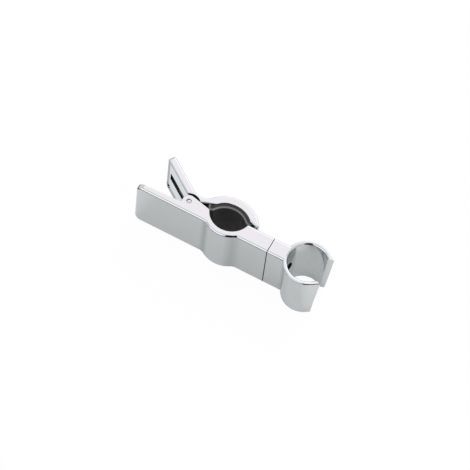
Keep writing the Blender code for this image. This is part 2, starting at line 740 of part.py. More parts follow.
def make_holder():
    """The open ring for the hand shower and its square neck, cast in one."""
    centre = RING_CENTRE
    ring = plate("holder", ring_outline(), 0, BODY_HEIGHT, PARTS, CHROME)
    for vertex in ring.data.vertices:
        taper = 1.0 if vertex.co.z > MIDDLE else RING_TAPER
        vertex.co.x *= taper
        vertex.co.y *= taper
    ring.data.transform(Matrix.Translation((*centre, 0)))
    soften(ring, RING_RIM_ROUND, lambda a, b: 1.0 if abs(a.z - b.z) < TOUCH else 0.0)

    neck = box("neck", (NECK_START_X, FRONT_Y, 0), (centre.x, BACK_Y, BODY_HEIGHT))

    def share(a, b):
        lengthwise = abs(a.x - b.x) > TOUCH
        at_arm = abs(a.x - NECK_START_X) < TOUCH and not lengthwise
        return 1.0 if lengthwise else (EDGE_BREAK / EDGE_ROUND / 2 if at_arm else 0.0)

    soften(neck, EDGE_ROUND, share)
    combine(ring, neck, "UNION")

    # The conical bore with its rounded mouth, the slot for the hose and the slanted ends of the lips
    past = OVERCUT
    mouth = RING_MOUTH_ROUND
    rounding = [(RING_INNER_TOP + mouth * (1 - math.cos(math.radians(a))),
                 BODY_HEIGHT - mouth * (1 - math.sin(math.radians(a)))) for a in (90, 70, 50, 30, 0)]
    profile = [(0, BODY_HEIGHT + past), (rounding[0][0], BODY_HEIGHT + past), *rounding,
               (RING_INNER_BOTTOM, 0), (RING_INNER_BOTTOM, -past), (0, -past)]
    bore = turned("cone_bore", profile, collection=CUTTERS, steps=2 * ROUND_STEPS)
    bore.location = (*centre, 0)
    combine(ring, bore)
    spread = (SLOT_HALF_OUTER - SLOT_HALF_INNER) / (LIP_REACH_TOP - math.sqrt(
        RING_INNER_TOP ** 2 - SLOT_HALF_INNER ** 2))
    near, far = 2 * past, LIP_REACH_TOP + 4 * past
    near_half = SLOT_HALF_OUTER - spread * (LIP_REACH_TOP - near)
    far_half = SLOT_HALF_OUTER + spread * (far - LIP_REACH_TOP)
    slot = [Vector((near, -near_half)), Vector((far, -far_half)),
            Vector((far, far_half)), Vector((near, near_half))]
    wedge = plate("hose_slot", slot, -past, BODY_HEIGHT + past, CUTTERS)
    for vertex in wedge.data.vertices:
        vertex.co.y *= SLOT_SPREAD_BELOW if vertex.co.z < MIDDLE else 1.0
    wedge.data.transform(Matrix.Translation((*centre, 0)))
    combine(ring, wedge)

    lean = (LIP_REACH_TOP - LIP_REACH_BOTTOM) / BODY_HEIGHT
    trim = [Vector((LIP_REACH_BOTTOM - lean * past, -past)), Vector((far, -past)),
            Vector((far, BODY_HEIGHT + past)), Vector((LIP_REACH_TOP + lean * past, BODY_HEIGHT + past))]
    lips = plate("lip_trim", trim, -RING_OUTER_TOP, RING_OUTER_TOP, CUTTERS)
    lips.data.transform(Matrix.Translation((*centre, 0)) @ Matrix.Rotation(math.radians(90), 4, "X"))
    combine(ring, lips)

    # The swivel's holes through the neck
    through = SCREW_RADIUS + SCREW_CLEARANCE
    axis = (SWIVEL_Y, MIDDLE)
    combine(ring, rod("screw_hole", through, (NECK_START_X - past, *axis), (centre.x, *axis)))
    combine(ring, rod("head_recess", HEAD_RECESS_RADIUS,
                      (WEB_FACE_X, *axis), (centre.x, *axis)))
    recess = THRUST_RADIUS + SEATING
    recess_end = ARM_END_X - THRUST_RECESS + 2 * SEATING + THRUST_THICKNESS
    combine(ring, rod("neck_thrust_recess", recess, (NECK_START_X - past, *axis),
                      (recess_end, *axis)))
    apply_modifiers(ring)
    smooth(ring)
    return ring


make_front_body()
make_lever()
make_jaw_pad()
make_hinge_pin()
make_clamp_spring()
make_holder()
make_swivel()
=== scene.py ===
import math

import bpy
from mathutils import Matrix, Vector


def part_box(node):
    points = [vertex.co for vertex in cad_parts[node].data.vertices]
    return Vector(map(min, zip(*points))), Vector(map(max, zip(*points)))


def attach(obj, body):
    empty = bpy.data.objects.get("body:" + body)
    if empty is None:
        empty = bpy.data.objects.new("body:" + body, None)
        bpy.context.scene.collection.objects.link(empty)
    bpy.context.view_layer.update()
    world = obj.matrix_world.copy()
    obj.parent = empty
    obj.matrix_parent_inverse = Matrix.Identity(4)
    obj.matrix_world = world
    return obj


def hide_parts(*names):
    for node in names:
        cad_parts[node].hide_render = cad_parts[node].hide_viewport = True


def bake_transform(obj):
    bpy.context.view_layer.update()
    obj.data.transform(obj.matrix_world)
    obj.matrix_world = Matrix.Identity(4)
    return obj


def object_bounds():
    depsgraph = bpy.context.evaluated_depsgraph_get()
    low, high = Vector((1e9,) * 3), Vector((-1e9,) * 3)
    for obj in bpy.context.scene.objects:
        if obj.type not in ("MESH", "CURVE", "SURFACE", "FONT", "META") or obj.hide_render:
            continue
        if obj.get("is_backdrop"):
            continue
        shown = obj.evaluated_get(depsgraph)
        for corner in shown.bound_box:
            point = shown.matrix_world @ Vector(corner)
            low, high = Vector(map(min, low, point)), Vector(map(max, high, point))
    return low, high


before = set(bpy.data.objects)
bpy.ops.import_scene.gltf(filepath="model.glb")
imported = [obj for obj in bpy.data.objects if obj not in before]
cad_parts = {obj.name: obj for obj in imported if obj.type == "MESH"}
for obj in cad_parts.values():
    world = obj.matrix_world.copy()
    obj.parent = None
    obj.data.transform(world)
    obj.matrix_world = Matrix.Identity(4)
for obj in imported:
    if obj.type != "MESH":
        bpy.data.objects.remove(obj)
cad_low, cad_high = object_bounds()
scene = bpy.context.scene
scene.view_settings.view_transform = "Standard"


# The camera looks down on the slider's front, from far away and from its right, as the photograph
# was taken.
eye = bpy.data.cameras.new("camera")
eye.sensor_width = 36.0
eye.lens = 240.53
camera = bpy.data.objects.new("camera", eye)
camera.location = (0.31898, -0.81666, 1.63452)
camera.rotation_euler = [math.radians(angle) for angle in (28.1392, -3.7181, 27.9883)]
scene.collection.objects.link(camera)
scene.camera = camera


# The studio is a white floor under a pale sky. Both show white to the eye, polished metal mirrors
# the sky white and the floor greyer, and the rest is lit by them at a plain level.
class Field:
    """A value, colour or shader that varies over a surface: one output of a node."""

    def __init__(self, tree, output=None):
        self.tree = tree
        self.output = output

    def node(self, kind, settings=None, inputs=None, output=0):
        made = self.tree.nodes.new(kind)
        for name, setting in (settings or {}).items():
            setattr(made, name, setting)
        for name, value in (inputs or {}).items():
            if isinstance(value, Field):
                self.tree.links.new(value.output, made.inputs[name])
            else:
                made.inputs[name].default_value = value
        return Field(self.tree, made.outputs[output] if made.outputs else None)

    def maths(self, operation, other):
        return self.node("ShaderNodeMath", {"operation": operation}, {0: self, 1: other})

    def __add__(self, other):
        return self.maths("ADD", other)

    def __mul__(self, other):
        return self.maths("MULTIPLY", other)

    __radd__ = __add__
    __rmul__ = __mul__

    def blend(self, first, second):
        """A colour between two, by this field."""
        return self.node("ShaderNodeMix", {"data_type": "RGBA"}, {0: self, 6: first, 7: second}, 2)


def shown_to(start, camera_share, mirror_share):
    """How far a surface is plain white to the camera and in mirrors, and lit as it is to the rest."""
    seen = start.node("ShaderNodeLightPath", output="Is Camera Ray") * camera_share
    mirrored = start.node("ShaderNodeLightPath", output="Is Glossy Ray")
    through = start.node("ShaderNodeLightPath", output="Is Transmission Ray")
    return seen + (mirrored + through) * mirror_share


SKY_COLOUR = (0.98, 1.0, 1.0, 1.0)
SKY_LEVEL = 0.46
sky = bpy.data.worlds.new("sky")
sky.use_nodes = True
sky.node_tree.nodes.clear()
above = Field(sky.node_tree)
strength = shown_to(above, 1.0 - SKY_LEVEL, 1.0 - SKY_LEVEL) + SKY_LEVEL
glow = above.node("ShaderNodeBackground", inputs={"Color": SKY_COLOUR, "Strength": strength})
above.node("ShaderNodeOutputWorld", inputs={"Surface": glow})
scene.world = sky

FLOOR_SIZE = 8.0
FLOOR_GAP = 0.0001
FLOOR_WHITE_SEEN = 0.97
FLOOR_WHITE_MIRRORED = 0.37
bpy.ops.object.select_all(action="DESELECT")
bpy.ops.mesh.primitive_plane_add(size=FLOOR_SIZE, location=(0, 0, -FLOOR_GAP))
floor = bpy.context.object
floor.name = "floor"
paper = bpy.data.materials.new("white_paper")
paper.use_nodes = True
paper.node_tree.nodes.clear()
sheet = Field(paper.node_tree)
lit = sheet.node("ShaderNodeBsdfDiffuse", inputs={"Color": (0.84, 0.85, 0.85, 1.0)})
white = sheet.node("ShaderNodeEmission", inputs={"Color": (1.0, 1.0, 1.0, 1.0), "Strength": 1.0})
share = shown_to(sheet, FLOOR_WHITE_SEEN, FLOOR_WHITE_MIRRORED)
surface = sheet.node("ShaderNodeMixShader", inputs={0: share, 1: lit, 2: white})
sheet.node("ShaderNodeOutputMaterial", inputs={"Surface": surface})
floor.data.materials.append(paper)
floor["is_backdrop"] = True


# Soft lamps stand round it. The top faces mirror the one above, the rounded front edges the one
# in front and the rounded back edges the one behind. The others light the floor and the pad alone.
def soft_lamp(name, turn, rise, distance, width, height, brightness, tint=(1.0, 1.0, 1.0), mirrored=True):
    lamp = bpy.data.lights.new(name, "AREA")
    lamp.shape = "RECTANGLE"
    lamp.size = width
    lamp.size_y = height
    lamp.energy = brightness * math.pi * width * height
    lamp.color = tint
    thing = bpy.data.objects.new(name, lamp)
    turn, rise = math.radians(turn), math.radians(rise)
    away = Vector((math.sin(turn) * math.cos(rise), -math.cos(turn) * math.cos(rise), math.sin(rise)))
    thing.location = away * distance
    thing.rotation_euler = away.to_track_quat("Z", "Y").to_euler()
    thing.visible_glossy = mirrored
    scene.collection.objects.link(thing)


soft_lamp("lamp_above", 204.0, 61.0, 1.5, 0.5, 0.5, 0.47, (1.0, 0.76, 0.86))
soft_lamp("lamp_in_front", -21.0, 23.0, 2.0, 1.7, 1.3, 0.80)
soft_lamp("lamp_behind", 175.0, 30.0, 2.0, 2.4, 1.6, 1.0)
soft_lamp("lamp_at_right", 90.0, 30.0, 2.0, 1.2, 1.2, 4.3, mirrored=False)
soft_lamp("lamp_at_left", -90.0, 30.0, 2.0, 1.2, 1.2, 1.8, mirrored=False)
soft_lamp("lamp_high_behind", 178.0, 40.0, 2.0, 1.2, 1.2, 3.9, mirrored=False)


# Dark felt, which only polished metal shows, draws the chrome's edges: a tall curved card behind
# the camera gives the black streaks, and a frame on the floor the thin dark lines.
def keep(piece, wanted):
    """Delete the faces of a studio piece whose middles don't answer a rule."""
    bpy.ops.object.mode_set(mode="EDIT")
    bpy.ops.mesh.select_all(action="DESELECT")
    bpy.ops.mesh.select_mode(type="FACE")
    bpy.ops.object.mode_set(mode="OBJECT")
    for polygon in piece.data.polygons:
        polygon.select = not wanted(polygon.center)
    bpy.ops.object.mode_set(mode="EDIT")
    bpy.ops.mesh.delete(type="FACE")
    bpy.ops.object.mode_set(mode="OBJECT")


def azimuth(place):
    """How far round the slider a place stands, from its front to its right, in degrees."""
    return math.degrees(math.atan2(place.x, -place.y))


CARD_RADIUS = 2.3
CARD_RINGS = 60
CARD_SIDES = (12, 48)
CARD_START = 0.07
innermost = CARD_RADIUS * math.sin(math.pi / CARD_RINGS)
bpy.ops.object.select_all(action="DESELECT")
bpy.ops.mesh.primitive_uv_sphere_add(segments=90, ring_count=CARD_RINGS, radius=CARD_RADIUS)
card = bpy.context.object
card.name = "dark_card"
keep(card, lambda place: CARD_SIDES[0] < azimuth(place) < CARD_SIDES[1] and place.xy.length > innermost)
for vertex in card.data.vertices:
    vertex.co.z = max(vertex.co.z, 0.0)
    if vertex.co.length < innermost * 1.5:
        vertex.co *= CARD_START / vertex.co.length

FRAME_GAP = 0.035
FRAME_WIDTH = 0.12
bpy.ops.object.select_all(action="DESELECT")
bpy.ops.mesh.primitive_plane_add(size=1.0, location=((cad_low + cad_high) / 2).to_2d().to_3d())
border = bpy.context.object
border.name = "dark_border"
border.scale = [side + 2 * (FRAME_GAP + FRAME_WIDTH) for side in (cad_high - cad_low).to_2d()] + [1]
bpy.ops.object.transform_apply(location=True, rotation=True, scale=True)
bpy.ops.object.mode_set(mode="EDIT")
bpy.ops.mesh.select_all(action="SELECT")
bpy.ops.mesh.inset(thickness=FRAME_WIDTH)
bpy.ops.mesh.delete(type="FACE")
bpy.ops.object.mode_set(mode="OBJECT")

# A small white card lies between the two handles and past their tips, and brightens the lever's
# inner face.
WHITE_CARD_LOW = Vector((-0.095, -0.0095))
WHITE_CARD_HIGH = Vector((-0.030, 0.035))
bpy.ops.object.select_all(action="DESELECT")
middle = (WHITE_CARD_LOW + WHITE_CARD_HIGH) / 2
bpy.ops.mesh.primitive_plane_add(size=1.0, location=(*middle, FLOOR_GAP))
white_card = bpy.context.object
white_card.name = "white_card"
white_card.scale = (*(WHITE_CARD_HIGH - WHITE_CARD_LOW), 1)
bpy.ops.object.transform_apply(location=True, rotation=True, scale=True)


def card_stock(name, colour, roughness, glow):
    """A card or felt of one colour, which glows by itself if asked to."""
    material = bpy.data.materials.new(name)
    material.use_nodes = True
    shader = material.node_tree.nodes["Principled BSDF"]
    shader.inputs["Base Color"].default_value = colour
    shader.inputs["Roughness"].default_value = roughness
    shader.inputs["Emission Color"].default_value = (1.0, 1.0, 1.0, 1.0)
    shader.inputs["Emission Strength"].default_value = glow
    return material


felt = card_stock("black_felt", (0.01, 0.01, 0.01, 1.0), 1.0, 0.0)
bright = card_stock("bright_card", (0.0, 0.0, 0.0, 1.0), 0.5, 0.97)
for piece, material in ((card, felt), (border, felt), (white_card, bright)):
    piece.data.materials.append(material)
    piece.visible_camera = False
    piece.visible_diffuse = False
    piece.visible_shadow = False
    piece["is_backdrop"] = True


# The fixed jaw is one plastic moulding, chrome plated and bright: a long handle, the half round seat
# for the rail with two hinge ears behind it, and the square arm that carries the swivel.
RAIL_RADIUS = 0.0125
SEAT_RADIUS = 0.0128
BULGE_RADIUS = 0.0164
HEIGHT = 0.0378
FRONT_Y = -0.0128
BACK_Y = -0.0023
SEAT_CORNER = 0.0008
BULGE_BLEND = 0.0055
EDGE_ROUND = 0.0013
EDGE_BREAK = 0.0003
TIP_X = -0.0558
ARM_END_X = 0.02995
HANDLE_ROOT = 0.0045
HANDLE_TIP = 0.0034
HANDLE_CORNER = 0.0043
PIN = Vector((-0.0247, -0.0059))
EAR_RADIUS = 0.0040
EAR_SLOPE = -12.9
EAR_FILLET = 0.0008
EAR_THICKNESS = 0.0027
SPRING_ROOM = 0.00445
COIL_SPACE = 0.0076
GROOVE_HEIGHT = 0.0068
GROOVE_END_WALL = 0.0036
PIN_HOLE = 0.0016
PIN_HEAD_ROOM = 0.0024
PIN_HEAD_DEPTH = 0.0013
SWIVEL_Y = (FRONT_Y + BACK_Y) / 2
INSERT_BORE = 0.0037
INSERT_DEPTH = 0.0110
WASHER_RECESS = 0.0043
WASHER_DEPTH = 0.0006
MIDDLE = HEIGHT / 2
PAST = 0.0010
RAIL = Vector((0, 0))
ARC_STEP = 3.0
SHARP_FROM = 35
SMOOTH_BELOW = 32
TOUCH = 1e-5
WELD = 1e-6


def unit(angle):
    """The direction in plan at an angle from +X, in degrees."""
    return Vector((math.cos(math.radians(angle)), math.sin(math.radians(angle))))


def left_of(direction):
    return Vector((-direction.y, direction.x))


def on_line(point, direction, centre, distance, ahead=True):
    """The point of a line at a distance from a centre, on the centre's far or near side."""
    along = (centre - point).dot(direction)
    aside = (centre - point - along * direction).length
    reach = math.sqrt(distance ** 2 - aside ** 2)
    return point + (along + (reach if ahead else -reach)) * direction


def one_vertex(name, place):
    """A new piece of a single vertex, in edit mode and ready to be extruded."""
    bpy.ops.object.select_all(action="DESELECT")
    bpy.ops.mesh.primitive_plane_add(size=0.001, location=place)
    piece = bpy.context.object
    piece.name = piece.data.name = name
    bpy.ops.object.transform_apply(location=True, rotation=True, scale=True)
    bpy.ops.object.mode_set(mode="EDIT")
    bpy.ops.mesh.select_mode(type="VERT")
    bpy.ops.mesh.select_all(action="SELECT")
    bpy.ops.mesh.merge(type="CENTER")
    return piece


class Outline:
    """The plan of a piece, drawn from one vertex: straight edges extruded, arcs spun."""

    def __init__(self, name, start, height):
        self.piece = one_vertex(name, (*start, height))
        self.here = start
        self.height = height

    def to(self, point):
        step = point - self.here
        bpy.ops.mesh.extrude_region_move(TRANSFORM_OT_translate={"value": (*step, 0)})
        self.here = point

    def round(self, centre, end, clockwise=False):
        """Follow an arc about a centre to its end."""
        first, last = (self.here - centre), (end - centre)
        sweep = math.degrees(math.atan2(last.y, last.x) - math.atan2(first.y, first.x)) % 360
        if clockwise:
            sweep -= 360
        steps = max(3, math.ceil(abs(sweep) / ARC_STEP))
        bpy.ops.mesh.spin(steps=steps, angle=-math.radians(sweep), center=(*centre, self.height),
                          axis=(0, 0, 1))
        self.here = end

    def corner(self, corner, onward, radius):
        """Go to a corner and round it towards the next point."""
        back = (self.here - corner).normalized()
        on = (onward - corner).normalized()
        half = math.acos(back.dot(on)) / 2
        centre = corner + (back + on).normalized() * radius / math.sin(half)
        turn = back.x * on.y - back.y * on.x
        self.to(corner + back * radius / math.tan(half))
        self.round(centre, corner + on * radius / math.tan(half), clockwise=turn > 0)

    def raise_by(self, height):
        """Close the outline, fill it and extrude it upwards."""
        bpy.ops.mesh.select_all(action="SELECT")
        bpy.ops.mesh.remove_doubles(threshold=WELD)
        bpy.ops.mesh.edge_face_add()
        bpy.ops.mesh.extrude_region_move(TRANSFORM_OT_translate={"value": (0, 0, height)})
        bpy.ops.mesh.select_all(action="SELECT")
        bpy.ops.mesh.normals_make_consistent(inside=False)
        bpy.ops.object.mode_set(mode="OBJECT")
        return self.piece


def only(piece):
    """Make a piece the only selected one."""
    bpy.ops.object.select_all(action="DESELECT")
    piece.select_set(True)
    bpy.context.view_layer.objects.active = piece


def pick_edges(piece, wanted):
    """Go into edit mode with the edges selected whose two ends answer a rule."""
    only(piece)
    bpy.ops.object.mode_set(mode="EDIT")
    bpy.ops.mesh.select_mode(type="EDGE")
    bpy.ops.mesh.select_all(action="DESELECT")
    bpy.ops.object.mode_set(mode="OBJECT")
    for edge in piece.data.edges:
        edge.select = bool(wanted(*(piece.data.vertices[i].co for i in edge.vertices)))
    bpy.ops.object.mode_set(mode="EDIT")


def round_edges(piece, radius, segments, wanted):
    """Round the edges of a plain piece whose two ends answer a rule."""
    pick_edges(piece, wanted)
    bpy.ops.mesh.bevel(offset=radius, segments=segments, affect="EDGES")
    bpy.ops.object.mode_set(mode="OBJECT")


def sharp_edges(piece):
    """The edges of a piece where its faces meet at an angle, as sets of their two vertices."""
    only(piece)
    bpy.ops.object.mode_set(mode="EDIT")
    bpy.ops.mesh.select_mode(type="EDGE")
    bpy.ops.mesh.select_all(action="DESELECT")
    bpy.ops.mesh.edges_select_sharp(sharpness=math.radians(SHARP_FROM))
    bpy.ops.object.mode_set(mode="OBJECT")
    return {frozenset(edge.vertices) for edge in piece.data.edges if edge.select}


def modify(piece, kind, **settings):
    """Finish a piece with a modifier, and apply it."""
    only(piece)
    modifier = piece.modifiers.new(kind.lower(), kind)
    for name, setting in settings.items():
        setattr(modifier, name, setting)
    bpy.ops.object.modifier_apply(modifier=modifier.name)


def soften(piece, width, share_of, segments=6):
    """Round a piece's sharp edges, each by its own share of the width."""
    sharp = sharp_edges(piece)
    shares = {}
    for edge in piece.data.edges:
        if frozenset(edge.vertices) in sharp:
            share = share_of(*(piece.data.vertices[i].co for i in edge.vertices))
            shares.setdefault(round(share, 3), []).append(edge.index)
    for share, edges in shares.items():
        if share > 0:
            chosen = set(edges)
            bpy.ops.object.mode_set(mode="EDIT")
            bpy.ops.mesh.select_all(action="DESELECT")
            bpy.ops.object.mode_set(mode="OBJECT")
            for edge in piece.data.edges:
                edge.select = edge.index in chosen
            bpy.ops.object.mode_set(mode="EDIT")
            bpy.ops.transform.edge_bevelweight(value=share)
            bpy.ops.object.mode_set(mode="OBJECT")
    modify(piece, "BEVEL", limit_method="WEIGHT", width=width, segments=segments,
           use_clamp_overlap=False)


def cut(piece, tool, operation="DIFFERENCE"):
    """Cut a piece with a tool, or join the tool to it. The tool is used up."""
    modify(piece, "BOOLEAN", operation=operation, object=tool, solver="EXACT")
    bpy.data.objects.remove(tool)


def round_bar(radius, start, end, steps=64, break_edge=0.0):
    """A round bar between two points, its rims broken if asked for."""
    start, end = Vector(start), Vector(end)
    way = end - start
    bpy.ops.object.select_all(action="DESELECT")
    bpy.ops.mesh.primitive_cylinder_add(vertices=steps, radius=radius, depth=way.length,
                                        location=(start + end) / 2,
                                        rotation=way.to_track_quat("Z", "Y").to_euler())
    bar = bpy.context.object
    bpy.ops.object.transform_apply(location=True, rotation=True, scale=True)
    if break_edge:
        round_edges(bar, break_edge, 3, lambda a, b: abs((a - b).dot(way)) < WELD * way.length)
    return bar


def block(low, high):
    """A plain block between two corners, to cut with."""
    low, high = Vector(low), Vector(high)
    bpy.ops.object.select_all(action="DESELECT")
    bpy.ops.mesh.primitive_cube_add(size=1.0, location=(low + high) / 2, scale=high - low)
    bpy.ops.object.transform_apply(location=True, rotation=True, scale=True)
    return bpy.context.object


def polish(piece):
    """Shade a finished piece smooth, with its flat faces kept flat."""
    only(piece)
    bpy.ops.object.shade_smooth_by_angle(angle=math.radians(SMOOTH_BELOW))
    modify(piece, "WEIGHTED_NORMAL", mode="FACE_AREA", keep_sharp=True)


def finish_of(name, metallic=0.0):
    """A new material, its shader and the field of places that its look is built on."""
    material = bpy.data.materials.new(name)
    material.use_nodes = True
    tree = material.node_tree
    shader = tree.nodes["Principled BSDF"]
    shader.inputs["Metallic"].default_value = metallic
    return material, shader, Field(tree).node("ShaderNodeTexCoord", output="Object")


def clad(piece, *materials):
    """Give a piece its materials, in place of any that it has."""
    piece.data.materials.clear()
    for material in materials:
        piece.data.materials.append(material)


def feed(shader, **fields):
    """Join fields to a shader's inputs, which are named with underscores for spaces."""
    for name, field in fields.items():
        field.tree.links.new(field.output, shader.inputs[name.replace("_", " ")])


# Painted shade darkens the chrome in four hollows, listed by x, y, radius and share: on the left
# and the right of the bulge, in the neck's corner and by the screw.
HOLLOWS = ((-0.0096, -0.0134, 0.0034, 1.0), (0.0087, -0.0140, 0.0052, 0.6),
           (0.0422, -0.0143, 0.0028, 1.0), (0.0419, -0.0056, 0.0060, 1.0))


def near_hollow(place, x, y, radius):
    """How near a place is to the middle of an upright hollow, from 0 at its radius to 1."""
    centred = place.node("ShaderNodeMapping", inputs={
        "Vector": place, "Location": (-x / radius, -y / radius, 0), "Scale": (1 / radius, 1 / radius, 0)})
    return place.node("ShaderNodeTexGradient", {"gradient_type": "SPHERICAL"}, {"Vector": centred}, 1)


chrome, shader, place = finish_of("polished_chrome", metallic=1.0)
cloud = place.node("ShaderNodeTexNoise", inputs={"Vector": place, "Scale": 55.0, "Detail": 3.0})
wiping = place.node("ShaderNodeTexNoise", inputs={
    "Vector": place, "Scale": 420.0, "Detail": 5.0, "Roughness": 0.6})
bloom = cloud * 0.5 + wiping * 0.5
height = place.node("ShaderNodeSeparateXYZ", inputs={"Vector": place}, output=2)
hollows = [near_hollow(place, x, y, radius) * share for x, y, radius, share in HOLLOWS]
# The painted shade of the hollows, kept off the top faces. The same mask also roughens the chrome a
# little.
painted_hollow_shade = sum(hollows) * height.maths("LESS_THAN", HEIGHT - EDGE_ROUND)
buffed = cloud.blend((0.575, 0.597, 0.603, 1.0), (0.600, 0.619, 0.626, 1.0))
# Painted shade: in the hollows the chrome's colour darkens towards this grey.
tint = (painted_hollow_shade * 0.85).blend(buffed, (0.36, 0.375, 0.38, 1.0))
peel = place.node("ShaderNodeTexNoise", inputs={"Vector": place, "Scale": 300.0, "Detail": 1.0})
bump = place.node("ShaderNodeBump", inputs={"Height": peel, "Strength": 0.02, "Distance": 0.0001})
feed(shader, Base_Color=tint, Roughness=0.03 + bloom * bloom * 0.10 + painted_hollow_shade * 0.08, Normal=bump)

# Painted shade: a near-black metal stands for the shade in the grooves, the spring's room and the seams.
shaded_plate, shader, place = finish_of("painted_shade_plate", metallic=1.0)
cloud = place.node("ShaderNodeTexNoise", inputs={"Vector": place, "Scale": 700.0, "Detail": 3.0})
tint = cloud.blend((0.06, 0.06, 0.065, 1.0), (0.13, 0.13, 0.135, 1.0))
feed(shader, Base_Color=tint, Roughness=0.28 + cloud * 0.2)


def plate_moulding(piece, inside):
    """Give a moulding its chrome, and painted shade, a near-black metal, on its deep places and seams."""
    clad(piece, chrome, shaded_plate)
    for polygon in piece.data.polygons:
        polygon.material_index = 1 if inside(polygon.center) else 0


plan = Outline("body_casting", Vector((TIP_X, FRONT_Y)), 0.0)
blend_x = math.sqrt((BULGE_RADIUS + BULGE_BLEND) ** 2 - (FRONT_Y - BULGE_BLEND) ** 2)
blend = Vector((blend_x, FRONT_Y - BULGE_BLEND))
tangent = blend * BULGE_RADIUS / blend.length
plan.to(Vector((-blend.x, FRONT_Y)))
plan.round(Vector((-blend.x, blend.y)), Vector((-tangent.x, tangent.y)), clockwise=True)
plan.round(RAIL, tangent)
plan.round(blend, Vector((blend.x, FRONT_Y)), clockwise=True)
plan.to(Vector((ARM_END_X, FRONT_Y)))
plan.to(Vector((ARM_END_X, BACK_Y)))
level = Vector((1, 0))
slope = unit(EAR_SLOPE)
ear_top = PIN + EAR_RADIUS * left_of(slope)
plan.to(on_line(Vector((0, BACK_Y)), level, RAIL, SEAT_RADIUS))
plan.round(RAIL, on_line(ear_top, slope, RAIL, SEAT_RADIUS, ahead=False), clockwise=True)
plan.to(ear_top)
plan.round(PIN, PIN + Vector((-EAR_RADIUS, 0)))
handle_back = Vector((TIP_X, FRONT_Y + HANDLE_TIP))
plan.corner(Vector((PIN.x - EAR_RADIUS, FRONT_Y + HANDLE_ROOT)), handle_back, EAR_FILLET)
plan.to(handle_back)
plan.to(Vector((TIP_X, FRONT_Y)))
body = plan.raise_by(HEIGHT)

round_edges(body, HANDLE_CORNER, 16,
            lambda a, b: abs(a.x - TIP_X) + abs(b.x - TIP_X) + abs(a.z - b.z) < WELD)


def body_share(a, b):
    middle = (a + b).to_2d() / 2
    in_seat = middle.length < SEAT_RADIUS + TOUCH
    if abs(middle.x - ARM_END_X) < TOUCH:
        return EDGE_BREAK / EDGE_ROUND / 2
    if abs(a.z - b.z) > HEIGHT / 2 and in_seat:
        return SEAT_CORNER / EDGE_ROUND
    on_front = middle.y < FRONT_Y + HANDLE_TIP / 2
    return 1.0 if (on_front or middle.x > 0) and not in_seat else EDGE_BREAK / EDGE_ROUND


soften(body, EDGE_ROUND, body_share)
cut(body, round_bar(SPRING_ROOM, (*PIN, EAR_THICKNESS), (*PIN, HEIGHT - EAR_THICKNESS)))
groove_low = MIDDLE - COIL_SPACE / 2
cut(body, block((TIP_X + GROOVE_END_WALL, PIN.y - SPRING_ROOM, groove_low),
                (PIN.x, PIN.y, groove_low + GROOVE_HEIGHT)))
cut(body, round_bar(PIN_HOLE, (*PIN, -PAST), (*PIN, HEIGHT + PAST)))
cut(body, round_bar(PIN_HEAD_ROOM, (*PIN, -PAST), (*PIN, PIN_HEAD_DEPTH)))
screw_line = (SWIVEL_Y, MIDDLE)
for bore_radius, depth in ((INSERT_BORE, INSERT_DEPTH), (WASHER_RECESS, WASHER_DEPTH)):
    cut(body, round_bar(bore_radius, (ARM_END_X - depth, *screw_line), (ARM_END_X + PAST, *screw_line)))
polish(body)


# The body's faces that get painted shade: the spring leg's groove, the spring's room and the seam face at
# the arm's end.
def shade_on_body(place):
    in_groove = (groove_low - TOUCH < place.z < groove_low + GROOVE_HEIGHT + TOUCH
                 and TIP_X + GROOVE_END_WALL - TOUCH < place.x < PIN.x - SPRING_ROOM
                 and PIN.y - SPRING_ROOM - TOUCH < place.y < handle_back.y)
    in_room = ((place.to_2d() - PIN).length < SPRING_ROOM + TOUCH
               and EAR_THICKNESS - TOUCH < place.z < HEIGHT - EAR_THICKNESS + TOUCH)
    at_seam = place.x > ARM_END_X - EDGE_BREAK / 2 and place.z < HEIGHT - EDGE_ROUND
    return in_groove or in_room or at_seam


plate_moulding(body, shade_on_body)
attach(body, "body")
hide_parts("front_body")


# The moving jaw is a second moulding with the same plate. Its handle has a shallow pocket with a
# groove for the spring's leg, and two webbed lugs hold it on the pin between the ears.
CLAMP_TURN = 19.3
LEVER_TILT = 16.1
LEVER_BEHIND_PIN = 0.00225
LEVER_THICKNESS = 0.0047
LEVER_REACH = 0.0319
LEVER_TOP_CORNER = 0.0016
LEVER_EDGE_ROUND = 0.0010
POCKET_DEPTH = 0.0007
POCKET_RIM = 0.0011
LEVER_VALLEY = 0.0095
LEVER_LOW = 0.0030
LEVER_HIGH = 0.0348
JAW_INNER = 0.0152
JAW_OUTER = 0.0200
JAW_TIP_ROUND = 0.0011
JAW_LIP_HEIGHT = 0.01334
HEEL_SLOPE = 38.7
HEEL_ANGLE = 159.8
COIL_ROOM = 0.0069
WEB_WIDTH = 0.0050
WEB_SET_DOWN = 0.0050
LUG_HEIGHT = 0.0118
LUG_BREAK = 0.0002

along = unit(-LEVER_TILT)
behind = left_of(along)
inner = PIN + LEVER_BEHIND_PIN * behind
outer = inner + LEVER_THICKNESS * behind
tip = -LEVER_REACH * along
heel = unit(HEEL_SLOPE)
heel_corner = JAW_INNER * unit(HEEL_ANGLE)
lip_middle = on_line(Vector((0, JAW_LIP_HEIGHT + JAW_TIP_ROUND)), level, RAIL,
                     JAW_OUTER - JAW_TIP_ROUND)
valley = on_line(outer + LEVER_VALLEY * behind, along, RAIL, JAW_OUTER + LEVER_VALLEY, ahead=False)
plan = Outline("lever_casting", inner + tip, LEVER_LOW)
plan.to(on_line(inner, along, PIN, COIL_ROOM, ahead=False))
plan.round(PIN, on_line(heel_corner, heel, PIN, COIL_ROOM), clockwise=True)
plan.to(heel_corner)
plan.round(RAIL, on_line(Vector((0, JAW_LIP_HEIGHT)), level, RAIL, JAW_INNER), clockwise=True)
plan.to(Vector((lip_middle.x, JAW_LIP_HEIGHT)))
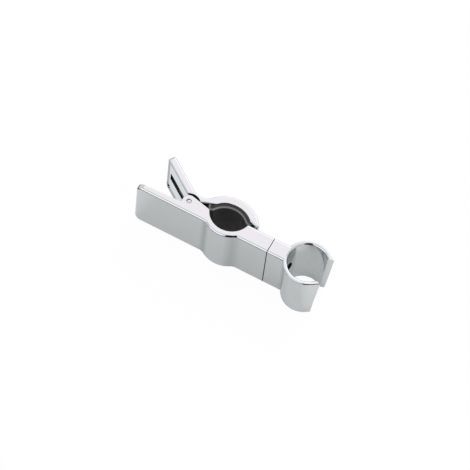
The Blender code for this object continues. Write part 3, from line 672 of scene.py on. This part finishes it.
plan.round(lip_middle, lip_middle.normalized() * JAW_OUTER)
plan.round(RAIL, valley.normalized() * JAW_OUTER)
plan.round(valley, valley - LEVER_VALLEY * behind, clockwise=True)
plan.to(outer + tip)
plan.to(inner + tip)
lever = plan.raise_by(LEVER_HIGH - LEVER_LOW)


def at_tip(place):
    return abs((place.to_2d() - PIN).dot(along) + LEVER_REACH) < WELD


for rim, corner_radius in ((LEVER_HIGH, LEVER_TOP_CORNER), (LEVER_LOW, HANDLE_CORNER)):
    round_edges(lever, corner_radius, 12,
                lambda a, b: at_tip(a) and at_tip(b) and abs(a.z - rim) + abs(b.z - rim) < WELD)


def lever_share(a, b):
    middle = (a + b).to_2d() / 2
    in_seat = middle.length < (JAW_OUTER + JAW_INNER) / 2 and middle.y < JAW_LIP_HEIGHT - TOUCH
    in_seat = in_seat or middle.length < JAW_INNER + TOUCH
    in_room = (middle - PIN).length < COIL_ROOM + TOUCH
    on_handle = (middle - PIN).dot(along) < -COIL_ROOM
    return 1.0 if on_handle or not (in_seat or in_room) else EDGE_BREAK / LEVER_EDGE_ROUND


soften(lever, LEVER_EDGE_ROUND, lever_share)


def turn_and_move(piece, angle, centre, way):
    """Turn a piece in plan about a centre, then move it."""
    only(piece)
    bpy.ops.object.mode_set(mode="EDIT")
    bpy.ops.mesh.select_all(action="SELECT")
    bpy.ops.transform.rotate(value=math.radians(angle), orient_axis="Z", center_override=(*centre, 0))
    bpy.ops.transform.translate(value=(*way, 0))
    bpy.ops.object.mode_set(mode="OBJECT")


def on_lever(piece):
    """Move a tool from the origin to the lever's frame, with its length along the handle."""
    turn_and_move(piece, LEVER_TILT, (0, 0), PIN)
    return piece


pocket_low, pocket_high = LEVER_LOW + POCKET_RIM, LEVER_HIGH - POCKET_RIM
pocket_end = POCKET_RIM - LEVER_REACH
pocket = block((pocket_end, LEVER_BEHIND_PIN - PAST, pocket_low),
               (-COIL_ROOM / 2, LEVER_BEHIND_PIN + POCKET_DEPTH, pocket_high))
for rim, corner_radius in ((pocket_high, LEVER_TOP_CORNER), (pocket_low, HANDLE_CORNER)):
    round_edges(pocket, corner_radius - POCKET_RIM, 8,
                lambda a, b: abs(a.x - pocket_end) + abs(b.x - pocket_end) < WELD
                and abs(a.z - rim) + abs(b.z - rim) < WELD)
cut(lever, on_lever(pocket))
web_way = unit(90 + CLAMP_TURN)
web_side = left_of(web_way) * WEB_WIDTH / 2
web_end = PIN + web_way * (COIL_ROOM + LEVER_THICKNESS / 4)
for name, low, set_down in (("lower_web", LEVER_LOW, WEB_SET_DOWN),
                            ("upper_web", LEVER_HIGH - LUG_HEIGHT, 0.0)):
    cut(lever, round_bar(EAR_RADIUS, (*PIN, low), (*PIN, low + LUG_HEIGHT), break_edge=LUG_BREAK),
        "UNION")
    web = Outline(name, PIN - web_side, low + set_down)
    for point in (web_end - web_side, web_end + web_side, PIN + web_side, PIN - web_side):
        web.to(point)
    cut(lever, web.raise_by(LUG_HEIGHT - WEB_SET_DOWN), "UNION")
cut(lever, round_bar(PIN_HOLE, (*PIN, 0), (*PIN, HEIGHT)))
groove_high = MIDDLE + COIL_SPACE / 2
groove_end = GROOVE_END_WALL - LEVER_REACH
cut(lever, on_lever(block((groove_end, 0, groove_high - GROOVE_HEIGHT), (0, SPRING_ROOM, groove_high))))


# The lever's faces that get painted shade: the spring leg's groove and the spring's room.
def shade_on_lever(place):
    along_handle, depth = (place.to_2d() - PIN).dot(along), (place.to_2d() - PIN).dot(behind)
    in_groove = (groove_end - TOUCH < along_handle < -COIL_ROOM
                 and LEVER_BEHIND_PIN + POCKET_DEPTH < depth < SPRING_ROOM + TOUCH
                 and groove_high - GROOVE_HEIGHT - TOUCH < place.z < groove_high + TOUCH)
    return in_groove or (place.to_2d() - PIN).length < COIL_ROOM + TOUCH


plate_moulding(lever, shade_on_lever)


def shut(piece):
    """Turn a piece about the pin, from where it holds a rail to where the jaws are shut."""
    turn_and_move(piece, CLAMP_TURN, PIN, (0, 0))


shut(lever)
polish(lever)
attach(lever, "lever")
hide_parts("lever")


# The grip pad is moulded in dark rubber and pressed into the moving jaw. Its inner edges are
# chamfered, so that a rail slides in, and a painted highlight makes the rubber lighter on them.
PAD_GAP = 0.0003
PAD_LIP = 0.0021
PAD_LIP_LENGTH = 0.0032
PAD_HEEL = 0.0033
PAD_HEEL_LENGTH = 0.0020
PAD_CHAMFER = 0.0008
PAD_BREAK_SHARE = 0.12


def rubber_of(name, dark, light):
    """Moulded rubber, matt and finely grained, between two shades."""
    material, shader, place = finish_of(name)
    grain = place.node("ShaderNodeTexNoise", inputs={"Vector": place, "Scale": 2600.0, "Detail": 2.0})
    cloud = place.node("ShaderNodeTexNoise", inputs={"Vector": place, "Scale": 160.0, "Detail": 4.0})
    bump = place.node("ShaderNodeBump", inputs={"Height": grain, "Strength": 0.35, "Distance": 0.0001})
    feed(shader, Base_Color=cloud.blend(dark, light), Roughness=0.42 + cloud * 0.2, Normal=bump)
    shader.inputs["Specular IOR Level"].default_value = 0.35
    return material


rubber = rubber_of("moulded_rubber", (0.008, 0.008, 0.008, 1.0), (0.016, 0.014, 0.014, 1.0))
# Painted highlight: a much lighter rubber for the chamfers.
highlit_rubber = rubber_of("painted_highlight_rubber", (0.19, 0.18, 0.18, 1.0), (0.25, 0.24, 0.24, 1.0))

pad_back = JAW_INNER - PAD_GAP
to_rail = -left_of(heel)
corner = heel_corner + PAD_GAP * to_rail
outer_start = on_line(corner, heel, RAIL, pad_back, ahead=False)
inner_start = on_line(corner + PAD_HEEL * to_rail, heel, RAIL, RAIL_RADIUS, ahead=False)
lip_y = JAW_LIP_HEIGHT - PAD_GAP
outer_end = on_line(Vector((0, lip_y)), level, RAIL, pad_back)
inner_end = on_line(Vector((0, lip_y - PAD_LIP)), level, RAIL, RAIL_RADIUS)
pad_start = inner_start - PAD_HEEL_LENGTH * heel
plan = Outline("grip_pad", pad_start, LEVER_LOW + PAD_GAP)
plan.to(inner_start)
plan.round(RAIL, inner_end, clockwise=True)
plan.to(Vector((inner_end.x + PAD_LIP_LENGTH, inner_end.y)))
plan.to(Vector((inner_end.x + PAD_LIP_LENGTH, lip_y)))
plan.to(outer_end)
plan.round(RAIL, outer_start)
plan.to(pad_start - PAD_HEEL * to_rail)
plan.to(pad_start)
pad = plan.raise_by(LEVER_HIGH - LEVER_LOW - 2 * PAD_GAP)


def pad_share(a, b):
    middle = (a + b).to_2d() / 2
    inside = middle.length < RAIL_RADIUS + TOUCH or abs(middle.y - inner_end.y) < WELD
    on_heel = abs((middle - inner_start).dot(to_rail)) < WELD
    return 1.0 if abs(a.z - b.z) < WELD and (inside or on_heel) else PAD_BREAK_SHARE


soften(pad, PAD_CHAMFER, pad_share, segments=1)
clad(pad, rubber, highlit_rubber)
# The chamfers get the painted highlight.
for polygon in pad.data.polygons:
    on_chamfer = 0.5 < abs(polygon.normal.z) < 0.9
    polygon.material_index = 1 if on_chamfer else 0
shut(pad)
polish(pad)
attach(pad, "lever")
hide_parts("jaw_pad")


# The hinge pin is turned from steel, with a domed end that shows in the upper ear and a small
# head in its recess underneath.
def turned(name, profile, foot, axis, steps=64):
    """A piece turned from (radius, height) points about an axis that starts at its foot."""
    axis = Vector(axis)
    side = Vector((1, 0, 0)) if axis.z else Vector((0, 0, 1))
    places = [Vector(foot) + side * radius + axis * height for radius, height in profile]
    piece = one_vertex(name, places[0])
    for before, after in zip(places, places[1:]):
        bpy.ops.mesh.extrude_region_move(TRANSFORM_OT_translate={"value": after - before})
    bpy.ops.mesh.select_all(action="SELECT")
    bpy.ops.mesh.spin(steps=steps, angle=2 * math.pi, center=foot, axis=axis)
    bpy.ops.mesh.select_all(action="SELECT")
    bpy.ops.mesh.remove_doubles(threshold=WELD)
    bpy.ops.mesh.normals_make_consistent(inside=False)
    bpy.ops.object.mode_set(mode="OBJECT")
    return piece


steel, shader, place = finish_of("turned_steel", metallic=1.0)
marks = place.node("ShaderNodeTexNoise", inputs={"Vector": place, "Scale": 900.0, "Detail": 6.0})
tint = marks.blend((0.50, 0.50, 0.51, 1.0), (0.60, 0.60, 0.61, 1.0))
bump = place.node("ShaderNodeBump", inputs={"Height": marks, "Strength": 0.1, "Distance": 0.0001})
feed(shader, Base_Color=tint, Roughness=0.14 + marks * 0.2, Normal=bump)

PIN_RADIUS = 0.0013
PIN_TOP = 0.0375
PIN_DOME = 0.0005
PIN_SPREAD = 0.00157
PIN_HEAD = 0.0021
PIN_HEAD_LOW = 0.0003
PIN_HEAD_HIGH = 0.0010
PIN_BREAK = 0.0002
quarter = [math.radians(angle) for angle in range(0, 91, 10)]
profile = [(PIN_SPREAD * math.sin(angle), PIN_TOP - PIN_DOME * (1 - math.cos(angle))) for angle in quarter]
profile += [(PIN_SPREAD, PIN_TOP - 2 * PIN_DOME), (PIN_RADIUS, PIN_TOP - 3 * PIN_DOME),
            (PIN_RADIUS, PIN_HEAD_HIGH), (PIN_HEAD - PIN_BREAK, PIN_HEAD_HIGH),
            (PIN_HEAD, PIN_HEAD_HIGH - PIN_BREAK), (PIN_HEAD, PIN_HEAD_LOW + PIN_BREAK),
            (PIN_HEAD - PIN_BREAK, PIN_HEAD_LOW), (0, PIN_HEAD_LOW)]
pin = turned("turned_pin", profile, (*PIN, 0), (0, 0, 1))
polish(pin)
clad(pin, steel)
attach(pin, "body")
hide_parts("hinge_pin")


# The clamp spring is wound from spring wire round the pin. One leg lies in each handle's
# groove, and the coil twists when the handles are squeezed.
WIRE_RADIUS = 0.00075
COIL_RADIUS = 0.0034
COIL_TURNS = 3
COIL_PITCH = 0.00165
LEG_LENGTH = 0.0170
LEG_BREAK = 0.00015
STEPS_A_TURN = 36

lever_way = unit(-LEVER_TILT - CLAMP_TURN)
leg_side = left_of(lever_way)
turns = (math.degrees(math.atan2(leg_side.y, leg_side.x)) + 360 * COIL_TURNS + 90) / 360
rise = COIL_PITCH * turns
coil_low = MIDDLE - rise / 2
bpy.ops.object.select_all(action="DESELECT")
bpy.ops.mesh.primitive_circle_add(vertices=16, radius=WIRE_RADIUS, location=(0, -COIL_RADIUS, coil_low),
                                  rotation=(0, math.radians(90), 0))
spring = bpy.context.object
spring.name = spring.data.name = "wound_spring"
bpy.ops.object.transform_apply(location=True, rotation=True, scale=True)
steps = round(turns * STEPS_A_TURN)
modify(spring, "SCREW", angle=2 * math.pi * turns, screw_offset=rise, steps=steps,
       render_steps=steps, axis="Z")
coil_ends = ((Vector((0, -COIL_RADIUS, coil_low)), Vector((-1, 0, 0))),
             (Vector((*(leg_side * COIL_RADIUS), coil_low + rise)), -lever_way.to_3d()))
for end, way in coil_ends:
    pick_edges(spring, lambda a, b: (a - end).length < WIRE_RADIUS + TOUCH
               and (b - end).length < WIRE_RADIUS + TOUCH
               and abs((a - b).dot(way)) < WELD and abs((a - end).dot(way)) < TOUCH)
    bpy.ops.mesh.extrude_region_move(TRANSFORM_OT_translate={"value": way * LEG_LENGTH})
    bpy.ops.mesh.edge_face_add()
    bpy.ops.mesh.inset(thickness=LEG_BREAK)
    bpy.ops.transform.translate(value=way * LEG_BREAK)
    bpy.ops.object.mode_set(mode="OBJECT")
only(spring)
bpy.ops.object.mode_set(mode="EDIT")
bpy.ops.mesh.select_all(action="SELECT")
bpy.ops.transform.translate(value=(*PIN, 0))
bpy.ops.mesh.normals_make_consistent(inside=False)
bpy.ops.object.mode_set(mode="OBJECT")
bpy.ops.object.shade_smooth_by_angle(angle=math.radians(40))

wire, shader, place = finish_of("drawn_wire", metallic=1.0)
scale = place.node("ShaderNodeTexNoise", inputs={"Vector": place, "Scale": 1300.0, "Detail": 4.0})
tint = scale.blend((0.10, 0.10, 0.10, 1.0), (0.20, 0.195, 0.19, 1.0))
feed(shader, Base_Color=tint, Roughness=0.22 + scale * 0.2)
clad(spring, wire)
coil_low + WIRE_RADIUS
coil_low + rise - WIRE_RADIUS
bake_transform(spring)
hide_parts("clamp_spring")


# The holder is the third moulding: an open ring with a conical bore for the hand shower, and a
# square neck that is screwed to the arm and turns on it.
NECK_START_X = 0.03025
RING_CENTRE = Vector((0.0539, -0.00715))
RING_INNER_TOP = 0.0120
RING_INNER_BOTTOM = 0.0110
RING_OUTER_TOP = 0.0144
RING_RIM_ROUND = 0.0006
RING_MOUTH_ROUND = 0.0012
RING_TAPER = 0.914
SLOT_HALF_INNER = 0.0079
SLOT_HALF_OUTER = 0.0088
SLOT_SPREAD_BELOW = 1.16
LIP_REACH_TOP = 0.0127
LIP_REACH_BOTTOM = 0.0104
SLOT_START = 0.0020
SLOT_PAST_LIPS = 0.0040
NECK_BREAK_SHARE = 0.12
WEB_FACE_X = 0.03445
HEAD_RECESS = 0.0046
SCREW_HOLE = 0.0022
TRIM_SIZE = 0.020

reach = RING_CENTRE + Vector((LIP_REACH_TOP, SLOT_HALF_OUTER))
lip = reach - RING_CENTRE
turn = math.degrees(math.atan2(lip.y, lip.x) + math.acos(RING_OUTER_TOP / lip.length))
tangent = RING_OUTER_TOP * unit(turn)
plan = Outline("holder_casting", RING_CENTRE + Vector((lip.x, -lip.y)), 0.0)
plan.to(reach)
plan.to(RING_CENTRE + tangent)
plan.round(RING_CENTRE, RING_CENTRE + Vector((tangent.x, -tangent.y)))
plan.to(RING_CENTRE + Vector((lip.x, -lip.y)))
holder = plan.raise_by(HEIGHT)
pick_edges(holder, lambda a, b: a.z + b.z < WELD)
bpy.ops.transform.resize(value=(RING_TAPER, RING_TAPER, 1.0), center_override=(*RING_CENTRE, 0))
bpy.ops.object.mode_set(mode="OBJECT")
soften(holder, RING_RIM_ROUND, lambda a, b: 1.0 if abs(a.z - b.z) < WELD else 0.0, segments=5)

neck = block((NECK_START_X, FRONT_Y, 0), (RING_CENTRE.x, BACK_Y, HEIGHT))


def neck_share(a, b):
    if abs(a.x - b.x) > TOUCH:
        return 1.0
    return NECK_BREAK_SHARE if abs(a.x - NECK_START_X) < TOUCH else 0.0


soften(neck, EDGE_ROUND, neck_share)
cut(holder, neck, "UNION")

profile = [(0, HEIGHT + PAST), (RING_INNER_TOP + RING_MOUTH_ROUND, HEIGHT + PAST)]
profile += [(RING_INNER_TOP + RING_MOUTH_ROUND * (1 - math.cos(angle)),
             HEIGHT - RING_MOUTH_ROUND * (1 - math.sin(angle))) for angle in reversed(quarter)]
profile += [(RING_INNER_BOTTOM, 0), (RING_INNER_BOTTOM, -PAST), (0, -PAST)]
cut(holder, turned("bore", profile, (*RING_CENTRE, 0), (0, 0, 1), steps=144))

spread = (SLOT_HALF_OUTER - SLOT_HALF_INNER) / (LIP_REACH_TOP - math.sqrt(
    RING_INNER_TOP ** 2 - SLOT_HALF_INNER ** 2))
near, far = SLOT_START, LIP_REACH_TOP + SLOT_PAST_LIPS
near_half = SLOT_HALF_OUTER - spread * (LIP_REACH_TOP - near)
far_half = SLOT_HALF_OUTER + spread * (far - LIP_REACH_TOP)
plan = Outline("slot", RING_CENTRE + Vector((near, -near_half)), -PAST)
for x, y in ((far, -far_half), (far, far_half), (near, near_half), (near, -near_half)):
    plan.to(RING_CENTRE + Vector((x, y)))
slot = plan.raise_by(HEIGHT + 2 * PAST)
pick_edges(slot, lambda a, b: a.z + b.z < 0)
bpy.ops.transform.resize(value=(1.0, SLOT_SPREAD_BELOW, 1.0), center_override=(*RING_CENTRE, 0))
bpy.ops.object.mode_set(mode="OBJECT")
cut(holder, slot)

lean = (LIP_REACH_TOP - LIP_REACH_BOTTOM) / HEIGHT
trim_x = RING_CENTRE.x + LIP_REACH_TOP + lean * PAST
trim = block((trim_x, RING_CENTRE.y - TRIM_SIZE, -PAST),
             (RING_CENTRE.x + TRIM_SIZE, RING_CENTRE.y + TRIM_SIZE, HEIGHT + PAST))
pick_edges(trim, lambda a, b: a.z + b.z < 0 and a.x + b.x < 2 * trim_x + WELD)
bpy.ops.transform.translate(value=(-lean * (HEIGHT + 2 * PAST), 0, 0))
bpy.ops.object.mode_set(mode="OBJECT")
cut(holder, trim)

for bore_radius, start_x, end_x in ((SCREW_HOLE, NECK_START_X - PAST, RING_CENTRE.x),
                                    (HEAD_RECESS, WEB_FACE_X, RING_CENTRE.x),
                                    (WASHER_RECESS, NECK_START_X - PAST, NECK_START_X + WASHER_DEPTH)):
    cut(holder, round_bar(bore_radius, (start_x, *screw_line), (end_x, *screw_line)))
polish(holder)


# The holder's faces that get painted shade: the screw head's recess and the seam face at the neck's start.
def shade_on_holder(place):
    in_recess = (place.x < RING_CENTRE.x - RING_INNER_BOTTOM
                 and math.hypot(place.y - SWIVEL_Y, place.z - MIDDLE) < HEAD_RECESS + TOUCH)
    at_seam = place.x < NECK_START_X + EDGE_BREAK / 2 and place.z < HEIGHT - EDGE_ROUND
    return in_recess or at_seam


plate_moulding(holder, shade_on_holder)
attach(holder, "holder")
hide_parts("holder")


# A socket head screw holds the holder to the arm. Its head lies deep in the neck, where the
# ring's bore gives a glimpse of it.
SCREW_RADIUS = 0.0019
SHANK_LENGTH = 0.0180
SCREW_HEAD = 0.0035
HEAD_EDGE = ((0.0005, 0.0), (0.0001, 0.0003), (0.0, 0.0006))
HEAD_BREAK = 0.0002
PLAIN_SHANK = 0.0020
THREAD_PITCH = 0.0006
THREAD_DEPTH = 0.00025
POINT_LENGTH = 0.0012
SOCKET_RADIUS = 0.0013
SOCKET_DEPTH = 0.0012
screw_low, screw_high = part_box("swivel_screw")
head_end = screw_high.x - screw_low.x
profile = [(0, head_end)]
profile += [(SCREW_HEAD - inwards, head_end - down) for inwards, down in HEAD_EDGE]
profile += [(SCREW_HEAD, SHANK_LENGTH + HEAD_BREAK), (SCREW_HEAD - HEAD_BREAK, SHANK_LENGTH),
            (SCREW_RADIUS, SHANK_LENGTH)]
for turn in range(int((SHANK_LENGTH - 2 * PLAIN_SHANK) / THREAD_PITCH)):
    crest = SHANK_LENGTH - PLAIN_SHANK - turn * THREAD_PITCH
    profile += [(SCREW_RADIUS, crest), (SCREW_RADIUS - THREAD_DEPTH, crest - THREAD_PITCH / 2)]
profile += [(SCREW_RADIUS, POINT_LENGTH), (SCREW_RADIUS / 2, 0), (0, 0)]
screw = turned("socket_screw", profile, (screw_low.x, SWIVEL_Y, MIDDLE), (1, 0, 0), steps=48)
cut(screw, round_bar(SOCKET_RADIUS, (screw_high.x - SOCKET_DEPTH, *screw_line),
                     (screw_high.x + PAST, *screw_line), steps=6))
polish(screw)
clad(screw, steel)
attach(screw, "body")
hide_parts("swivel_screw")


# The insert is brass and knurled to grip the plastic. The washers beside it are nylon and
# bright steel, and all of them stay as the frame has them.
brass, shader, place = finish_of("knurled_brass", metallic=1.0)
ribs = place.node("ShaderNodeTexWave", {"bands_direction": "DIAGONAL"},
                  {"Vector": place, "Scale": 500.0, "Distortion": 0.5})
tint = ribs.blend((0.58, 0.40, 0.16, 1.0), (0.80, 0.60, 0.30, 1.0))
bump = place.node("ShaderNodeBump", inputs={"Height": ribs, "Strength": 0.5, "Distance": 0.0002})
feed(shader, Base_Color=tint, Roughness=0.25 + ribs * 0.15, Normal=bump)

nylon, shader, place = finish_of("natural_nylon")
cloud = place.node("ShaderNodeTexNoise", inputs={"Vector": place, "Scale": 500.0, "Detail": 3.0})
tint = cloud.blend((0.78, 0.77, 0.72, 1.0), (0.86, 0.86, 0.83, 1.0))
feed(shader, Base_Color=tint, Roughness=0.38 + cloud * 0.15)
shader.inputs["Subsurface Weight"].default_value = 0.1
shader.inputs["Subsurface Radius"].default_value = (0.001, 0.001, 0.001)

for name, material in (("threaded_insert", brass), ("thrust_washer", nylon),
                       ("friction_washer", nylon), ("spring_washer", steel), ("plain_washer", steel)):
    clad(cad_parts[name], material)


# The sizes of the frame and of the finished slider are kept side by side.
low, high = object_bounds()
